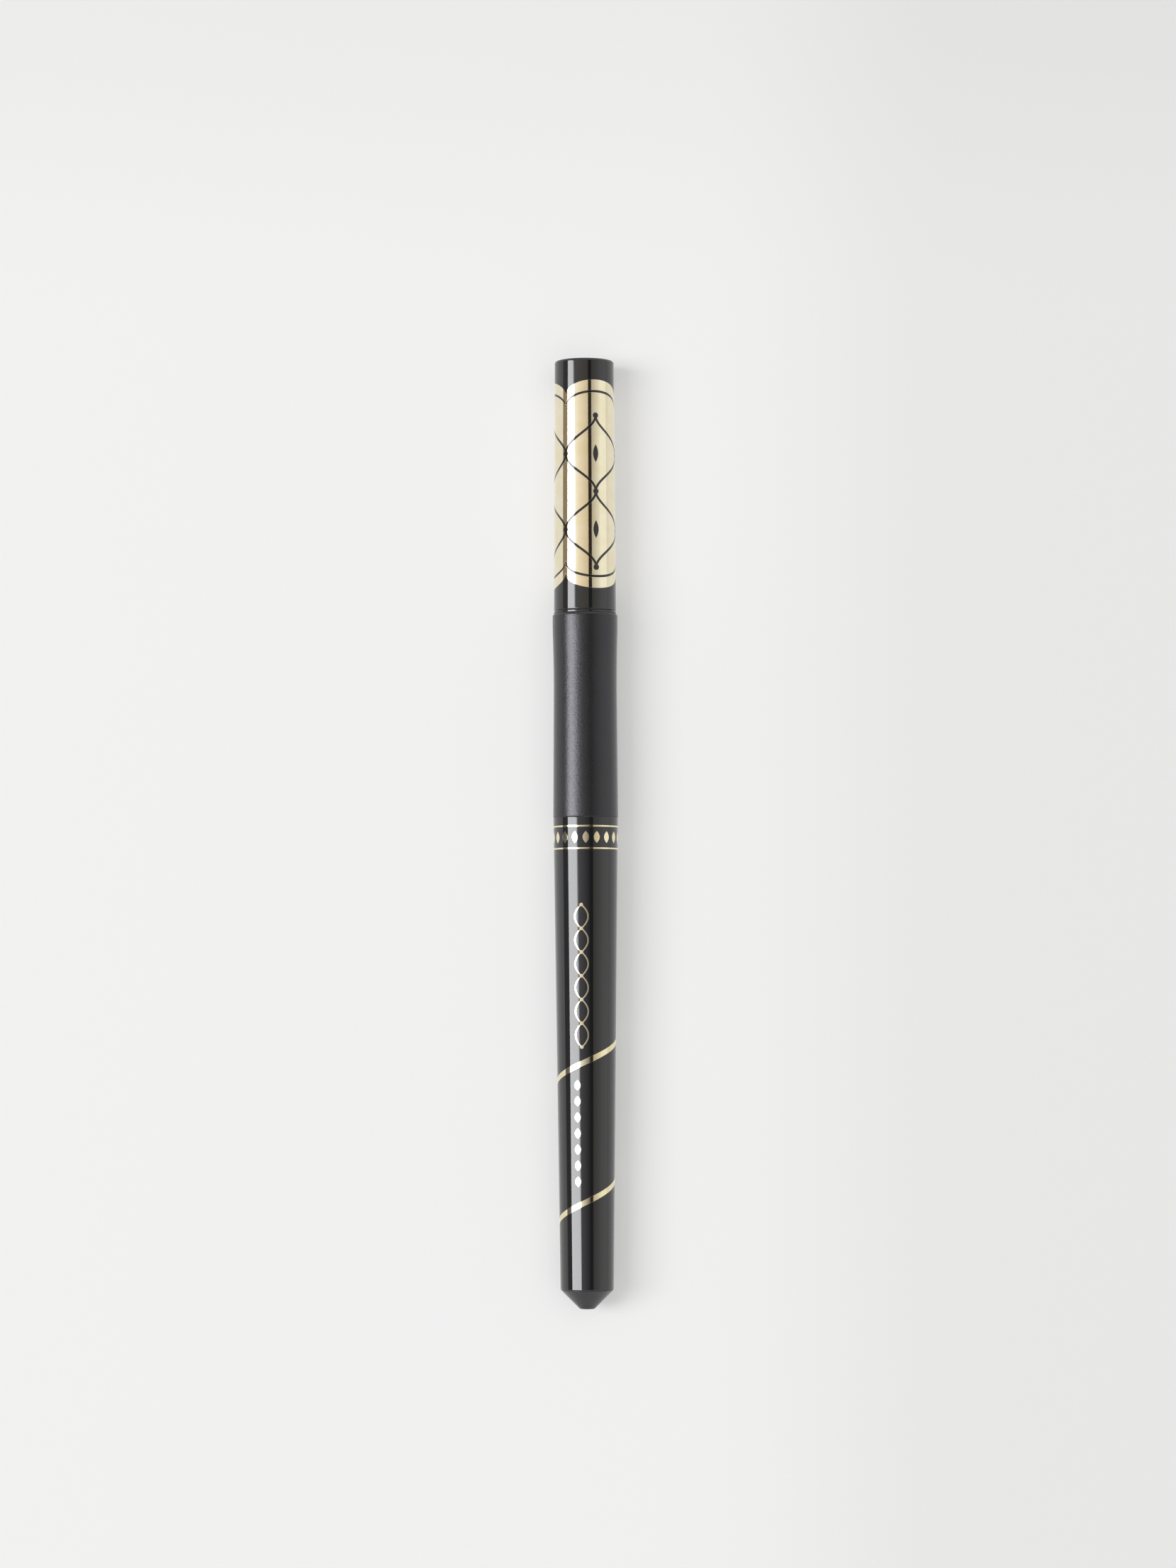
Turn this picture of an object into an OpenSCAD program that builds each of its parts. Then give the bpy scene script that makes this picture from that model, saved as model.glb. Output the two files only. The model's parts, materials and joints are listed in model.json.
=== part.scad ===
// Liquid eyeliner pen with a felt tip, a finned ink collector and a pull-off cap.
// Each piece is drawn upright on the pen's axis, with zero at the tail, and the
// whole pen is then laid on its side along Y, with the cap towards +Y.

/* [Lengths] */
// Length of the tail cone
tail_cone_len = 2.8; // [2.2:0.1:3.4]
// Visible length of the glossy barrel
barrel_len = 67.9; // [60:0.1:76]
// Length of the soft grip
grip_len = 29.5; // [27:0.1:34]
// Visible length of the cap
cap_len = 36.4; // [33:0.1:40]

/* [Barrel] */
// Diameter of the barrel at the grip
barrel_d = 9.37; // [9.2:0.01:9.7]
// Diameter of the barrel at the tail plug
barrel_tail_d = 7.69; // [7.4:0.01:8]
// Wall of the barrel at the tail plug
barrel_wall = 0.8; // [0.7:0.01:0.95]
// Rounding of the barrel's edges at the grip and at the tail plug
barrel_edge_r = 0.12; // [0.05:0.01:0.2]
// Step in the bore that the gasket rests on
bore_step = 0.35; // [0.25:0.01:0.4]
// Lead-in chamfer of the bores and of what goes into them
bore_chamfer = 0.15; // [0.1:0.01:0.2]
// Depth of the snap grooves in the bore
snap_h = 0.12; // [0.08:0.01:0.15]
// Length of a snap groove
snap_len = 0.8; // [0.6:0.05:1.2]

/* [Grip] */
// Diameter of the band at the front of the grip
grip_d = 9.41; // [9.3:0.01:9.8]
// Diameter of the grip at its waist
grip_waist_d = 9.12; // [9:0.01:9.3]
// Length of the straight band at the front of the grip
grip_band_len = 2.4; // [1.6:0.1:4]
// Distance of the waist from the front of the grip
grip_waist_pos = 10.9; // [8:0.1:14]
// Rounding of the front edge of the grip
grip_edge_r = 0.4; // [0.2:0.05:0.5]
// Wall of the soft sleeve at its waist
grip_wall = 0.65; // [0.55:0.01:0.75]
// Height of the locking beads inside the sleeve
bead_h = 0.12; // [0.08:0.01:0.15]
// Length of one locking bead
bead_len = 1.2; // [0.8:0.1:2]
// Number of locking beads
bead_count = 3; // [2:1:4]
// Height of the keys that stop the sleeve from turning
key_h = 0.3; // [0.2:0.01:0.35]
// Width of one key
key_w = 1.2; // [0.8:0.1:1.6]
// Length of one key
key_len = 5; // [3:0.1:6]
// Number of keys
key_count = 4; // [2:1:6]

/* [Front section] */
// Thickness of the collar ring between the grip and the cap
collar_t = 0.3; // [0.2:0.05:0.6]
// Diameter of the collar ring
collar_d = 9.03; // [8.9:0.01:9.1]
// Gap between the collar ring and the mouth of the cap
mouth_gap = 0.1; // [0.05:0.01:0.2]
// Length of the spigot inside the barrel
spigot_len = 10; // [8:0.1:12]
// Wall of the spigot
spigot_wall = 0.75; // [0.6:0.01:0.9]
// Distance of the snap bead from the end of the spigot
spigot_snap_pos = 5.4; // [5:0.1:6]
// Gap between the neck and the bore of the cap
neck_gap = 0.2; // [0.12:0.01:0.3]
// Distance of the cap ring from the collar
ring_pos = 2.2; // [2:0.1:4]
// Length of the cap ring on the neck
ring_len = 0.9; // [0.6:0.05:1.4]
// Length of the rounded shoulder in front of the neck
shoulder_len = 6.5; // [5:0.1:7.5]
// Diameter of the land that the inner cap seals on
land_d = 4; // [3.6:0.05:4.2]
// Length of that land
land_len = 3.5; // [2.5:0.1:4]
// Length of the tapered nose
nose_len = 5.5; // [4.5:0.1:6]
// Diameter of the nose at its tip
nose_tip_d = 2.6; // [2.4:0.05:3]
// Rounding of the edge at the nose's tip
nose_edge_r = 0.15; // [0.05:0.01:0.2]
// Diameter of the hollow behind the nib
nose_hollow_d = 2.2; // [2:0.05:2.4]
// Length of the funnel that leads into the nib's bore
funnel_len = 0.6; // [0.4:0.05:0.9]
// Number of vent flutes along the nib
flute_count = 4; // [3:1:6]
// Width of a vent flute
flute_w = 0.35; // [0.25:0.01:0.45]
// Depth of a vent flute
flute_h = 0.2; // [0.1:0.01:0.25]

/* [Nib and relay core] */
// Diameter of the felt nib
nib_d = 1.6; // [1.4:0.05:1.7]
// Length of the nib outside the nose
nib_out = 6; // [5:0.1:6.8]
// Length of the nib held inside the nose
nib_seat = 8; // [7:0.1:8.4]
// Radius of the nib's rounded point
nib_point_r = 0.2; // [0.15:0.01:0.3]
// Fullness of the nib's taper, where 1 makes it a straight cone
nib_fullness = 1.4; // [1:0.05:1.8]
// Diameter of the relay core
relay_d = 1.2; // [1:0.05:1.3]
// Length of the relay core's pointed end
relay_point_len = 1.2; // [0.8:0.1:1.6]
// How far the relay core stands out into the ink
relay_out = 0.8; // [0.5:0.05:1.2]

/* [Collector] */
// Length of the collector from its rear disc to the front of its flange
collector_len = 28; // [24:0.1:32]
// Wall of the tube round the relay core
stem_wall = 0.65; // [0.5:0.01:0.8]
// Thickness of the front flange
flange_t = 1.2; // [0.8:0.05:1.6]
// Thickness of the rear disc
rear_disc_t = 0.8; // [0.6:0.05:1.2]
// Thickness of one fin
fin_t = 0.35; // [0.25:0.01:0.45]
// Gap between the two rearmost fins
fin_gap = 0.35; // [0.3:0.01:0.45]
// How much wider each gap is than the one behind it
fin_gap_growth = 0.01; // [0.005:0.001:0.02]
// Gap between the fins and the bore
fin_play = 0.1; // [0.05:0.01:0.15]
// Width of the capillary slot that feeds the fins
feed_slot_w = 0.3; // [0.2:0.01:0.4]
// Width of the air slot on the other side
air_slot_w = 0.9; // [0.7:0.01:1.2]
// Length of the boss that centres the front section
boss_len = 2; // [1.5:0.1:3]
// Length of the guide tube in front of the boss
guide_len = 5; // [3:0.1:6]
// Thickness of the flat gasket
gasket_t = 0.6; // [0.4:0.05:0.8]
// How far the gasket reaches inwards past the bore
gasket_lap = 0.25; // [0.15:0.01:0.35]

/* [Ink tank] */
// Wall of the tank
tank_wall = 0.55; // [0.45:0.01:0.65]
// Thickness of the tank's floor
tank_floor_t = 0.7; // [0.5:0.05:1]
// Rounding of the tank's floor, outside
tank_edge_r = 0.8; // [0.5:0.05:1]
// Length of the stopper inside the tank
stopper_len = 4; // [3:0.1:5]
// Thickness of the stopper's head
stopper_head_t = 0.8; // [0.6:0.05:1.2]
// Height of the stopper's sealing beads
stopper_bead_h = 0.12; // [0.08:0.01:0.16]
// Length of one sealing bead
stopper_bead_len = 0.6; // [0.4:0.05:0.8]
// Number of sealing beads
stopper_bead_count = 3; // [2:1:4]
// Diameter of the mixing ball
ball_d = 3; // [2.6:0.05:3.4]

/* [Tail plug] */
// Diameter of the flat end of the tail
tail_end_d = 2.1; // [1.6:0.05:2.6]
// Rounding of the edge round that flat end
tail_edge_r = 0.3; // [0.1:0.05:0.4]
// Length of the plug inside the barrel
plug_len = 7; // [5.5:0.1:9]
// Wall of the hollow plug
plug_wall = 0.75; // [0.6:0.01:0.9]
// Number of crush ribs round the plug
rib_count = 6; // [4:1:8]
// Height of a crush rib
rib_h = 0.2; // [0.15:0.01:0.25]
// Width of a crush rib
rib_w = 0.5; // [0.35:0.01:0.7]
// Distance of the snap bead from the barrel's tail end
plug_snap_pos = 1.4; // [1:0.05:2]

/* [Cap] */
// Diameter of the cap at its mouth
cap_mouth_d = 9.03; // [8.9:0.01:9.3]
// Diameter of the cap at its closed end
cap_end_d = 8.6; // [8.4:0.01:8.9]
// Rounding of the edge at the closed end
cap_edge_r = 0.38; // [0.2:0.01:0.5]
// Rounding of the edge at the mouth
cap_lip_r = 0.12; // [0.05:0.01:0.2]
// Wall of the cap at its mouth
cap_wall = 0.8; // [0.7:0.01:0.9]
// Thickness of the closed end
cap_end_wall = 1.2; // [0.9:0.05:1.6]
// Chamfer inside the mouth
cap_chamfer = 0.15; // [0.1:0.01:0.25]
// Depth of the groove that the cap ring snaps into
cap_groove_h = 0.12; // [0.08:0.01:0.15]
// Free length of that groove past each side of the cap ring
cap_groove_play = 0.25; // [0.15:0.01:0.4]
// How far the bore narrows to hold the inner cap
cap_step = 0.45; // [0.35:0.01:0.55]
// Number of ribs that hold the inner cap
liner_rib_count = 6; // [4:1:8]
// Height of a rib that holds the inner cap
liner_rib_h = 0.15; // [0.1:0.01:0.2]
// Width of a rib that holds the inner cap
liner_rib_w = 0.5; // [0.35:0.01:0.7]
// Wall of the inner cap
liner_wall = 0.7; // [0.55:0.01:0.8]
// How far the inner cap's mouth lies in front of the start of the land
liner_lead = 0.6; // [0.4:0.05:1]

/* [Clearances] */
// Radial clearance of what slides
slide_fit = 0.03; // [0.02:0.005:0.05]
// Radial clearance of what is pressed or set in place
seat_fit = 0.02; // [0.01:0.005:0.03]
// Clearance round the mixing ball
ball_fit = 0.05; // [0.03:0.01:0.08]
// Free space in front of the nib, inside the inner cap
nib_clear = 3.6; // [2:0.1:5]

/* [Hidden] */
$fn = 96;
// One overrun serves all cuts
overrun = 0.5;
// Steps in a curved stretch of an outline
curve_steps = 12;

// Places along the axis, from the tail
tail_z = tail_cone_len;
seam_z = tail_z + barrel_len;
front_z = seam_z + grip_len;
collar_z = front_z + collar_t;
mouth_z = collar_z + mouth_gap;
end_z = mouth_z + cap_len;
plug_z = tail_z + plug_len;
spigot_z = front_z - spigot_len;
flange_z = spigot_z - flange_t;
step_z = flange_z - gasket_t;
collector_z = spigot_z - collector_len;
tank_z = collector_z - stopper_head_t;
stopper_z = tank_z - stopper_len;
relay_z = stopper_z - relay_out;
cap_floor_z = end_z - cap_end_wall;

// Places inside the cap, from its closed end back to the neck, which fills the rest
nib_z = cap_floor_z - liner_wall - nib_clear;
tip_z = nib_z - nib_out;
nib_rear_z = tip_z - nib_seat;
nose_z = tip_z - nose_len;
land_z = nose_z - land_len;
neck_z = land_z - shoulder_len;
liner_z = land_z + liner_lead;
ledge_z = land_z - liner_lead;

// Radii, from the outside in
grip_r = grip_d / 2;
waist_r = grip_waist_d / 2;
barrel_r = barrel_d / 2;
barrel_tail_r = barrel_tail_d / 2;
core_r = waist_r - grip_wall;
bore_r = barrel_tail_r - barrel_wall;
seat_r = bore_r + bore_step;
spigot_r = seat_r - seat_fit;
spigot_bore_r = spigot_r - spigot_wall;
cap_bore_r = cap_mouth_d / 2 - cap_wall;
ring_r = cap_bore_r - slide_fit;
neck_r = cap_bore_r - neck_gap;
land_r = land_d / 2;
nib_r = nib_d / 2;
nib_bore_r = nib_r + seat_fit;
relay_r = relay_d / 2;
relay_bore_r = relay_r + seat_fit;
stem_r = relay_bore_r + stem_wall;
fin_r = bore_r - fin_play;
tank_r = bore_r - seat_fit;
tank_bore_r = tank_r - tank_wall;
plug_r = bore_r - rib_h;
liner_bore_r = cap_bore_r - cap_step;
liner_r = liner_bore_r - liner_rib_h - seat_fit;
ball_r = ball_d / 2;

// The pen's axis lies one grip radius above the surface it rests on
axis_h = max(grip_r, barrel_r, cap_mouth_d / 2);

// Points of an arc in an outline
function arc(x, z, r, from, to) = [
    for (i = [0:curve_steps])
        let (a = from + (to - from) * i / curve_steps)
            [x + r * cos(a), z + r * sin(a)]
];

// Points of a straight raised bead, with sloped sides as long as it is high
function bead(r, z, len, h) = [
    [r, z],
    [r + h, z + abs(h)],
    [r + h, z + len - abs(h)],
    [r, z + len]
];

// Middle of a bead when several share a stretch evenly
function shared(from, to, i, count) = from + (to - from) * (i + 1) / (count + 1);

module turned(outline) {
    rotate_extrude(convexity = 12) polygon(outline);
}

module around(count) {
    for (i = [0:count - 1]) {
        rotate([0, 0, i * 360 / count]) children();
    }
}

// A straight bar that stands out from inner to outer radius
module radial_bar(inner, outer, width, from, to) {
    translate([inner, -width / 2, from]) cube([outer - inner, width, to - from]);
}

module lay_down() {
    translate([0, -end_z / 2, axis_h]) rotate([-90, 0, 0]) children();
}

// Cone that closes the tail, with a hollow ribbed plug that snaps into the barrel
module tail_plug() {
    snap_z = tail_z + plug_snap_pos;
    slope = atan2(tail_z, barrel_tail_r - tail_end_d / 2);
    outline = concat(
        [[0, 0]],
        arc(tail_end_d / 2 - tail_edge_r * tan(slope / 2), tail_edge_r, tail_edge_r, -90, slope - 90),
        [[barrel_tail_r, tail_z], [plug_r, tail_z]],
        bead(plug_r, snap_z, snap_len, rib_h + snap_h - seat_fit),
        [[plug_r, plug_z - bore_chamfer], [plug_r - bore_chamfer, plug_z]],
        [[plug_r - plug_wall, plug_z], [plug_r - plug_wall, tail_z + plug_wall], [0, tail_z + plug_wall]]
    );
    color("#2b2b2d") lay_down() {
        turned(outline);
        around(rib_count) {
            radial_bar(plug_r - plug_wall / 2, bore_r - seat_fit, rib_w, snap_z + snap_len / 2,
                plug_z - rib_h);
        }
    }
}

// Tapered glossy tube, with a slimmer core under the grip and a stepped bore
module barrel() {
    snap_z = tail_z + plug_snap_pos;
    front_snap_z = spigot_z + spigot_snap_pos;
    outside = concat(
        arc(barrel_tail_r - barrel_edge_r, tail_z + barrel_edge_r, barrel_edge_r, -90, 0),
        arc(barrel_r - barrel_edge_r, seam_z - barrel_edge_r, barrel_edge_r, 0, 90),
        [[core_r, seam_z]],
        [for (i = [0:bead_count - 1])
            let (z = shared(seam_z + key_len, front_z, i, bead_count) - bead_len / 2)
                each bead(core_r, z, bead_len, -bead_h)],
        [[core_r, front_z]]
    );
    inside = concat(
        [[seat_r + bore_chamfer, front_z], [seat_r, front_z - bore_chamfer]],
        [for (p = bead(seat_r, -front_snap_z - snap_len, snap_len, snap_h)) [p[0], -p[1]]],
        [[seat_r, step_z], [bore_r, step_z]],
        [for (p = bead(bore_r, -snap_z - snap_len, snap_len, snap_h)) [p[0], -p[1]]],
        [[bore_r, tail_z]]
    );
    color("#18181a") lay_down() {
        turned(concat(outside, inside));
        around(key_count) {
            radial_bar(core_r - bead_h, core_r + key_h, key_w, seam_z, seam_z + key_len);
        }
    }
}

// Soft waisted sleeve with locking beads and key slots inside
module grip_sleeve() {
    waist_z = front_z - grip_waist_pos;
    band_z = front_z - grip_band_len;
    sleeve_bore_r = core_r + seat_fit;
    outside = concat(
        [[barrel_r, seam_z], [waist_r, waist_z]],
        [for (i = [1:curve_steps])
            let (t = i / curve_steps)
                [waist_r + (grip_r - waist_r) * t * t, waist_z + (band_z - waist_z) * t]],
        arc(grip_r - grip_edge_r, front_z - grip_edge_r, grip_edge_r, 0, 90)
    );
    inside = [
        for (i = [bead_count - 1:-1:0])
            let (z = shared(seam_z + key_len, front_z, i, bead_count) - bead_len / 2 + seat_fit)
                let (b = bead(sleeve_bore_r, z, bead_len - seat_fit * 2, -bead_h))
                    for (j = [3:-1:0]) b[j]
    ];
    color("#3a3a3c") lay_down() {
        difference() {
            turned(concat(outside, [[sleeve_bore_r, front_z]], inside, [[sleeve_bore_r, seam_z]]));
            around(key_count) {
                radial_bar(core_r - bead_h, core_r + key_h + seat_fit, key_w + seat_fit * 2,
                    seam_z - overrun, seam_z + key_len + seat_fit);
            }
        }
    }
}

// Radius of the rounded shoulder between the neck and the land, as t goes from 0 to 1
function shoulder(from, to, t) = to + (from - to) * (1 + cos(180 * t)) / 2;

// Front of the pen: spigot, collar, neck with the cap ring, shoulder, land and vented nose
module front_section() {
    snap_z = spigot_z + spigot_snap_pos;
    ring_z = collar_z + ring_pos;
    nose_tip_r = nose_tip_d / 2;
    hollow_r = nose_hollow_d / 2;
    hollow_z = nib_rear_z - funnel_len;
    outside = concat(
        [[spigot_r - bore_chamfer, spigot_z], [spigot_r, spigot_z + bore_chamfer]],
        bead(spigot_r, snap_z + seat_fit, snap_len - seat_fit * 2, snap_h),
        [[spigot_r, front_z], [collar_d / 2, front_z], [collar_d / 2, collar_z], [neck_r, collar_z]],
        bead(neck_r, ring_z, ring_len, ring_r - neck_r),
        [for (i = [0:curve_steps])
            let (t = i / curve_steps)
                [shoulder(neck_r, land_r, t), neck_z + shoulder_len * t]],
        [[land_r, nose_z]],
        arc(nose_tip_r - nose_edge_r, tip_z - nose_edge_r, nose_edge_r, 0, 90)
    );
    inside = concat(
        [[nib_bore_r, tip_z], [nib_bore_r, nib_rear_z], [hollow_r, hollow_z]],
        [for (i = [curve_steps:-1:0])
            let (t = i / curve_steps)
                [shoulder(spigot_bore_r, hollow_r, t), neck_z + (hollow_z - funnel_len - neck_z) * t]],
        [[spigot_bore_r, spigot_z]]
    );
    color("#1b1b1d") lay_down() {
        difference() {
            turned(concat(outside, inside));
            around(flute_count) {
                radial_bar(0, nib_bore_r + flute_h, flute_w, hollow_z, tip_z + overrun);
            }
        }
    }
}

// Felt rod with a slender rounded point, and a socket for the relay core
module nib() {
    point_z = nib_z - nib_point_r;
    taper_len = point_z - tip_z;
    outline = concat(
        [[0, nib_rear_z + relay_point_len], [relay_bore_r, nib_rear_z], [nib_r, nib_rear_z], [nib_r, tip_z]],
        [for (i = [1:curve_steps - 1])
            let (t = i / curve_steps)
                [nib_point_r + (nib_r - nib_point_r) * (1 - pow(t, nib_fullness)), tip_z + taper_len * t]],
        arc(0, point_z, nib_point_r, 0, 90)
    );
    color("#202022") lay_down() turned(outline);
}

// Fibre rod that carries the ink from the tank to the nib
module relay_core() {
    outline = [
        [0, relay_z],
        [relay_r, relay_z],
        [relay_r, nib_rear_z - seat_fit],
        [0, nib_rear_z + relay_point_len - seat_fit * 2]
    ];
    color("#d9d4c6") lay_down() turned(outline);
}

// Height of fin number i, with each gap a little wider than the one behind it
function fin_z(i) = collector_z + rear_disc_t + fin_gap
    + i * (fin_t + fin_gap) + fin_gap_growth * i * (i + 1) / 2;

// Finned ink regulator: a comb of thin discs on the tube that holds the relay core
module collector() {
    fin_limit = floor(collector_len / (fin_t + fin_gap));
    fins = [for (i = [0:fin_limit]) if (fin_z(i) + fin_t + fin_gap < step_z) fin_z(i)];
    boss_z = spigot_z + boss_len;
    boss_r = spigot_bore_r - seat_fit;
    outline = concat(
        [[relay_bore_r, stopper_z], [stem_r - bore_chamfer, stopper_z], [stem_r, stopper_z + bore_chamfer]],
        [[stem_r, collector_z], [fin_r, collector_z], [fin_r, collector_z + rear_disc_t]],
        [[stem_r, collector_z + rear_disc_t]],
        [for (z = fins) each [[stem_r, z], [fin_r, z], [fin_r, z + fin_t], [stem_r, z + fin_t]]],
        [[stem_r, flange_z], [spigot_r, flange_z], [spigot_r, spigot_z], [boss_r, spigot_z]],
        [[boss_r, boss_z - bore_chamfer], [boss_r - bore_chamfer, boss_z], [stem_r, boss_z]],
        [[stem_r, boss_z + guide_len], [relay_bore_r, boss_z + guide_len]]
    );
    color("#e4e1d8") lay_down() {
        difference() {
            turned(outline);
            rotate([0, 0, 90]) {
                radial_bar(relay_r, seat_r, feed_slot_w, fins[0] - fin_gap, step_z);
                radial_bar(stem_r, seat_r, feed_slot_w, collector_z - overrun, fins[0]);
            }
            rotate([0, 0, -90]) {
                radial_bar(stem_r, seat_r, air_slot_w, fins[0], boss_z + overrun);
            }
        }
    }
}

// Flat gasket between the step in the barrel and the collector's flange
module seal_ring() {
    color("#8a3b32") lay_down() {
        difference() {
            translate([0, 0, step_z]) cylinder(r = seat_r - seat_fit, h = gasket_t);
            translate([0, 0, step_z - overrun]) {
                cylinder(r = bore_r - gasket_lap, h = gasket_t + overrun * 2);
            }
        }
    }
}

// Translucent tube, closed at the tail, that holds the ink and the mixing ball
module ink_tank() {
    inner_edge_r = max(tank_edge_r - tank_wall, seat_fit);
    floor_z = plug_z + tank_floor_t;
    outline = concat(
        [[0, plug_z]],
        arc(tank_r - tank_edge_r, plug_z + tank_edge_r, tank_edge_r, -90, 0),
        [[tank_r, tank_z], [tank_bore_r + bore_chamfer, tank_z], [tank_bore_r, tank_z - bore_chamfer]],
        arc(tank_bore_r - inner_edge_r, floor_z + inner_edge_r, inner_edge_r, 0, -90),
        [[0, floor_z]]
    );
    color("#cfd4d6") lay_down() turned(outline);
}

// Soft stopper with sealing beads, in the mouth of the tank
module tank_plug() {
    skirt_r = tank_bore_r - stopper_bead_h - seat_fit;
    beads = [
        for (i = [stopper_bead_count - 1:-1:0]) each
            [for (p = bead(skirt_r, -shared(stopper_z, tank_z - bore_chamfer, i, stopper_bead_count)
                - stopper_bead_len / 2, stopper_bead_len, stopper_bead_h)) [p[0], -p[1]]]
    ];
    outline = concat(
        [[stem_r + seat_fit, collector_z], [tank_r, collector_z], [tank_r, tank_z], [skirt_r, tank_z]],
        beads,
        [[skirt_r, stopper_z], [stem_r + seat_fit, stopper_z]]
    );
    color("#b9b3a6") lay_down() turned(outline);
}

// Steel ball that lies against the lower wall of the tank
module mixing_ball() {
    ball_z = plug_z + tank_floor_t + ball_r + ball_fit;
    color("#b8bcc0") lay_down() {
        translate([0, tank_bore_r - ball_r - ball_fit, ball_z]) sphere(r = ball_r);
    }
}

// Glossy tapered cap with the groove for the cap ring and the ribs that hold the inner cap
module cap_shell() {
    ring_z = collar_z + ring_pos;
    groove_len = ring_len + cap_groove_play * 2;
    outline = concat(
        [[cap_bore_r + cap_chamfer, mouth_z]],
        arc(cap_mouth_d / 2 - cap_lip_r, mouth_z + cap_lip_r, cap_lip_r, -90, 0),
        arc(cap_end_d / 2 - cap_edge_r, end_z - cap_edge_r, cap_edge_r, 0, 90),
        [[0, end_z], [0, cap_floor_z], [liner_bore_r, cap_floor_z], [liner_bore_r, ledge_z]],
        [[cap_bore_r, ledge_z - cap_step]],
        [for (p = bead(cap_bore_r, -ring_z - ring_len - cap_groove_play, groove_len, cap_groove_h))
            [p[0], -p[1]]],
        [[cap_bore_r, mouth_z + cap_chamfer]]
    );
    color("#c9a45a") lay_down() {
        turned(outline);
        around(liner_rib_count) {
            radial_bar(liner_bore_r - liner_rib_h, liner_bore_r + liner_rib_h, liner_rib_w,
                ledge_z + liner_rib_h, cap_floor_z);
        }
    }
}

// Soft liner that seals on the nose's land and keeps the nib wet
module inner_cap() {
    seal_r = land_r + slide_fit;
    chamber_r = liner_r - liner_wall;
    outline = [
        [seal_r + bore_chamfer, liner_z],
        [liner_r - bore_chamfer, liner_z],
        [liner_r, liner_z + bore_chamfer],
        [liner_r, cap_floor_z - bore_chamfer],
        [liner_r - bore_chamfer, cap_floor_z],
        [0, cap_floor_z],
        [0, cap_floor_z - liner_wall],
        [chamber_r, cap_floor_z - liner_wall],
        [chamber_r, nose_z + liner_wall],
        [seal_r, nose_z],
        [seal_r, liner_z + bore_chamfer]
    ];
    color("#efeee9") lay_down() turned(outline);
}

tail_plug();
barrel();
grip_sleeve();
front_section();
nib();
relay_core();
collector();
seal_ring();
ink_tank();
tank_plug();
mixing_ball();
cap_shell();
inner_cap();
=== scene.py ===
import json
import math

import bpy
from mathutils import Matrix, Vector


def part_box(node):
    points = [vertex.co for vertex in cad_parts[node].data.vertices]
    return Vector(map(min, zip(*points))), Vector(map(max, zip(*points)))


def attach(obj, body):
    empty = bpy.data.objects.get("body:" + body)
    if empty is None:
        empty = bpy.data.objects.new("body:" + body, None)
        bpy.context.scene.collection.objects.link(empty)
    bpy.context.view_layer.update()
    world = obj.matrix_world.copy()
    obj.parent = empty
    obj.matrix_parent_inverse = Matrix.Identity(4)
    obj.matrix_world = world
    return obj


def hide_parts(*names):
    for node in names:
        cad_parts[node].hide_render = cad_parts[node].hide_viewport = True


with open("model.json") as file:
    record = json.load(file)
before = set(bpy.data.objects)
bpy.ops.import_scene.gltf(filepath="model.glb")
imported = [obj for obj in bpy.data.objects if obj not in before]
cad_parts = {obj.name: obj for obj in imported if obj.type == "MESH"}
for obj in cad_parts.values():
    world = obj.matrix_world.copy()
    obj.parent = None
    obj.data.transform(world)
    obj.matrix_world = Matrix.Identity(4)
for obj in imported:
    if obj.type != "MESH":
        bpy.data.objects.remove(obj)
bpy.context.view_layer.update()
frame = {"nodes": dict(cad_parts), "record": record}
print("frame loaded")

mm = 0.001
mounts = {mount["name"]: mount for mount in frame["record"]["mounts"]}
axisHeight = mounts["holder_band"]["pos_m"][2]  # the pen's axis above the floor
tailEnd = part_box("tail_plug")[0].y


def station(node, end):
    # distance of a node's rear (0) or front (1) end from the tail, in millimetres
    return (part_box(node)[end].y - tailEnd) / mm


barrelStart = station("barrel", 0)
seam = station("grip_sleeve", 0)
gripFront = station("grip_sleeve", 1)
spigotStart = station("front_section", 0)
noseFront = station("front_section", 1)
capMouth = station("cap_shell", 0)
capEnd = station("cap_shell", 1)
nibRear = station("nib", 0)
nibFront = station("nib", 1)
linerMouth = station("inner_cap", 0)
capFloor = station("inner_cap", 1)


# Shapes, with sizes in millimetres: radii from the pen's axis, places from its tail

turnSteps = 160  # facets round the pen
roundSteps = 6  # facets in a rounded edge
shoulderSteps = 16  # facets along a smooth blend between two radii
holdGap = 0.06  # flat strip kept beside a rounded edge, in millimetres
overrun = 1  # how far a cutting shape sticks out, in millimetres
mergeDistance = 1e-7  # points closer than this are one, in metres
smoothAngle = 32  # edges steeper than this stay sharp, in degrees


def startFresh():
    if bpy.context.object and bpy.context.object.mode != "OBJECT":
        bpy.ops.object.mode_set(mode="OBJECT")
    bpy.ops.object.select_all(action="DESELECT")


def roundCorners(corners):
    # each corner is (radius, distance from the tail) or (radius, distance, rounding)
    points = []
    for index, corner in enumerate(corners):
        here = Vector((corner[0], corner[1], 0))
        rounding = corner[2] if len(corner) > 2 else 0
        if not rounding:
            points.append(here)
            continue
        before = (Vector((*corners[index - 1][:2], 0)) - here).normalized()
        after = (Vector((*corners[(index + 1) % len(corners)][:2], 0)) - here).normalized()
        half = before.angle(after) / 2
        centre = here + (before + after).normalized() * rounding / math.sin(half)
        reach = rounding / math.tan(half)
        first = here + before * reach - centre
        last = here + after * reach - centre
        points.append(here + before * (reach + holdGap))
        for step in range(roundSteps + 1):
            points.append(centre + first.slerp(last, step / roundSteps) * rounding)
        points.append(here + after * (reach + holdGap))
    return points


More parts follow.
